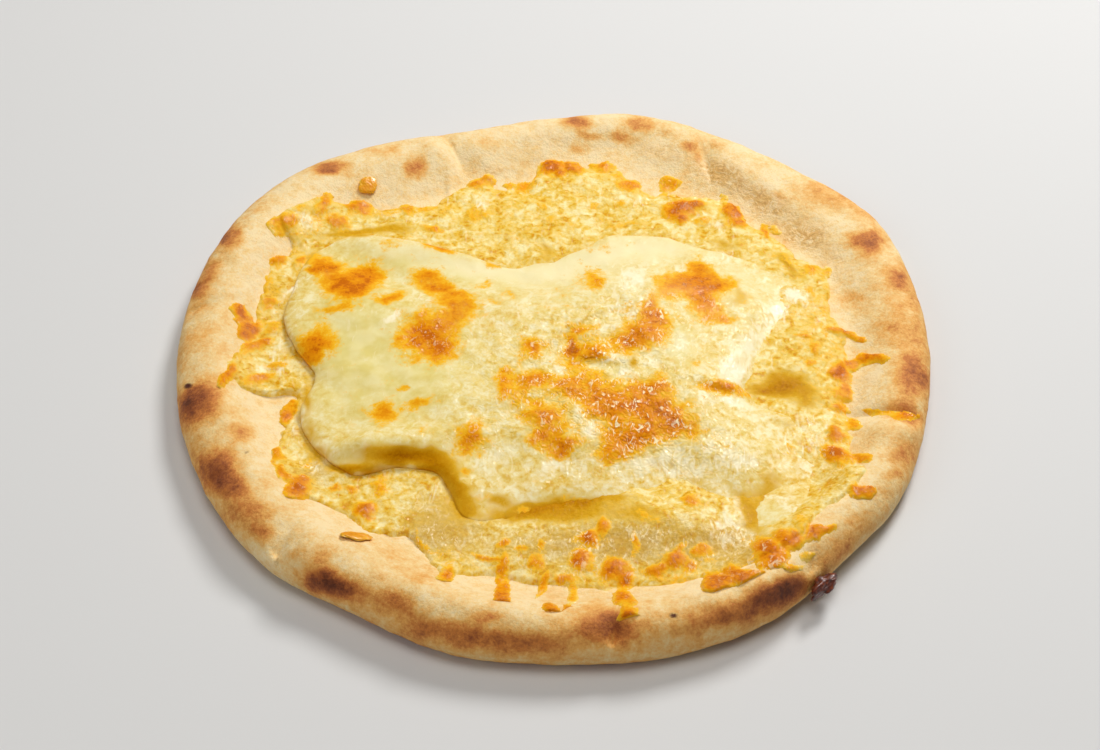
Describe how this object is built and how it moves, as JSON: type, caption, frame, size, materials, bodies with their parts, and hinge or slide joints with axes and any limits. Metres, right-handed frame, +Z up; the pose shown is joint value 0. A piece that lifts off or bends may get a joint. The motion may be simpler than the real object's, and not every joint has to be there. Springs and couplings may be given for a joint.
{
  "type": "megrelian khachapuri",
  "caption": "Round baked cheese bread with a rolled rim, browned grated cheese and a thick melted slab of cheese on top.",
  "frame": {"origin": "middle of the flat underside, below the middle of the bounding box", "axes": "+Z up, through the thickness; -Y towards the viewer of the reference view; +X to that viewer's right"},
  "size_m": [0.3023, 0.3016, 0.0236],
  "materials": {
    "crust": "baked wheat crust: matte, floury pale cream with soft brown patches",
    "grated_cheese": "grated cheese baked to a grainy, oily, golden layer with orange-brown bubbles",
    "melted_cheese": "smooth glossy pale yellow melted cheese with orange-brown baked spots",
    "browned_cheese": "small shiny orange-brown cheese bubbles on the crust",
    "burnt_cheese": "cheese burnt to a dark red-brown glossy crust"
  },
  "bodies": {
    "root": {"bread": "crust", "cheese_grated": "grated_cheese", "cheese_slab": "melted_cheese", "cheese_bit_far_left": "browned_cheese", "cheese_curl_near_left": "browned_cheese", "burnt_leak": "burnt_cheese"}
  },
  "joints": []
}
